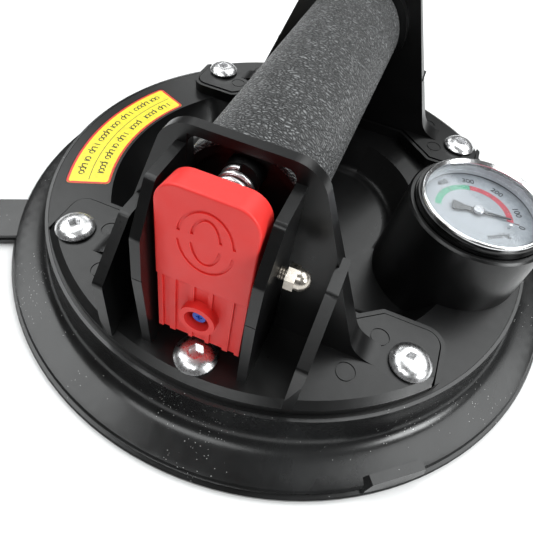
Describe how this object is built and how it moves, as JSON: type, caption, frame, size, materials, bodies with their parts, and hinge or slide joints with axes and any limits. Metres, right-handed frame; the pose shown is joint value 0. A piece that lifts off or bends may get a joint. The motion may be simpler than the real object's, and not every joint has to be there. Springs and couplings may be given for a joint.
{
  "type": "vacuum suction cup lifter",
  "caption": "Round hand vacuum lifter: rubber pad and plate, carrying handle with pump plunger, red release lever and vacuum gauge.",
  "frame": {"origin": "centre of the round sealing plane, on the surface that the cup holds", "axes": "+Z away from the surface, +Y along the handle towards the pump plunger, the release lever at -Y and the gauge at +X"},
  "size_m": [0.2274, 0.21, 0.08],
  "materials": {
    "black_rubber": "satin",
    "black_plastic": "satin",
    "grip_rubber": "leather grained",
    "red_plastic": "satin",
    "blue_plastic": "satin",
    "steel": "bright",
    "chrome": "polished",
    "brass": "machined",
    "aluminium": "anodised",
    "bronze_filter": "sintered",
    "glass": "clear",
    "dial_white": "satin",
    "spacer_white": "gloss",
    "needle_grey": "satin",
    "gauge_black": "gloss",
    "label_yellow": "printed film",
    "seal_rubber": "matte"
  },
  "bodies": {
    "frame": {"rubber_pad": "black_rubber", "base_plate": "black_plastic", "caution_label": "label_yellow", "port_oring": "seal_rubber", "filter_disc": "bronze_filter", "foot_screws": "chrome", "foot_inserts": "brass", "front_leg": "black_plastic", "rear_leg": "black_plastic", "grip_sleeve": "grip_rubber", "pump_barrel": "aluminium", "pump_head": "black_plastic", "inlet_valve": "seal_rubber", "barrel_end_cap": "black_plastic", "pump_spring": "steel", "valve_nozzle": "brass", "valve_block": "black_plastic", "air_elbow": "black_plastic", "lever_pivot_bolt": "steel", "lever_acorn_nut": "chrome", "lever_spring": "steel", "gauge_housing": "black_plastic", "gauge_case": "gauge_black", "gauge_bezel": "chrome", "gauge_lens": "glass", "gauge_dial": "dial_white", "dial_gasket": "seal_rubber", "dial_spacer": "spacer_white", "gauge_stop_pin": "steel", "movement_plate": "brass", "bourdon_tube": "brass", "gauge_stem": "brass"},
    "lever": {"release_lever": "red_plastic", "valve_plug": "blue_plastic"},
    "plunger": {"piston": "black_plastic", "piston_seal": "seal_rubber", "exhaust_valve": "seal_rubber", "plunger_rod": "steel", "plunger_button": "black_plastic", "indicator_ring": "red_plastic"},
    "needle": {"gauge_needle": "needle_grey", "gauge_arbor": "steel"},
    "sector": {"gauge_sector": "brass"}
  },
  "joints": [
    {"name": "release_lever_pivot", "type": "hinge", "parent": "frame", "child": "lever", "pos_m": [0, -0.067, 0.058], "axis": [-1, 0, 0], "range_deg": [0, 12], "stiffness_Nm_per_rad": 0.5, "springref_deg": -5.73, "deforming": ["lever_spring"]},
    {"name": "pump_plunger_slide", "type": "slide", "parent": "frame", "child": "plunger", "axis": [0, -1, 0], "range_m": [0, 0.024], "stiffness_N_per_m": 500, "springref_m": -0.012, "deforming": ["pump_spring"]},
    {"name": "gauge_needle_turn", "type": "hinge", "parent": "frame", "child": "needle", "pos_m": [0.0622, -0.0032, 0.0415], "axis": [0, 0, 1], "range_deg": [0, 177], "stiffness_Nm_per_rad": 0.0005},
    {"name": "gauge_sector_turn", "type": "hinge", "parent": "frame", "child": "sector", "pos_m": [0.0542, 0.01066, 0.035], "axis": [0, 0, 1], "range_deg": [-19.7, 0]}
  ],
  "couplings": [
    {"joint": "gauge_sector_turn", "follows": "gauge_needle_turn", "ratio": -0.11111}
  ]
}
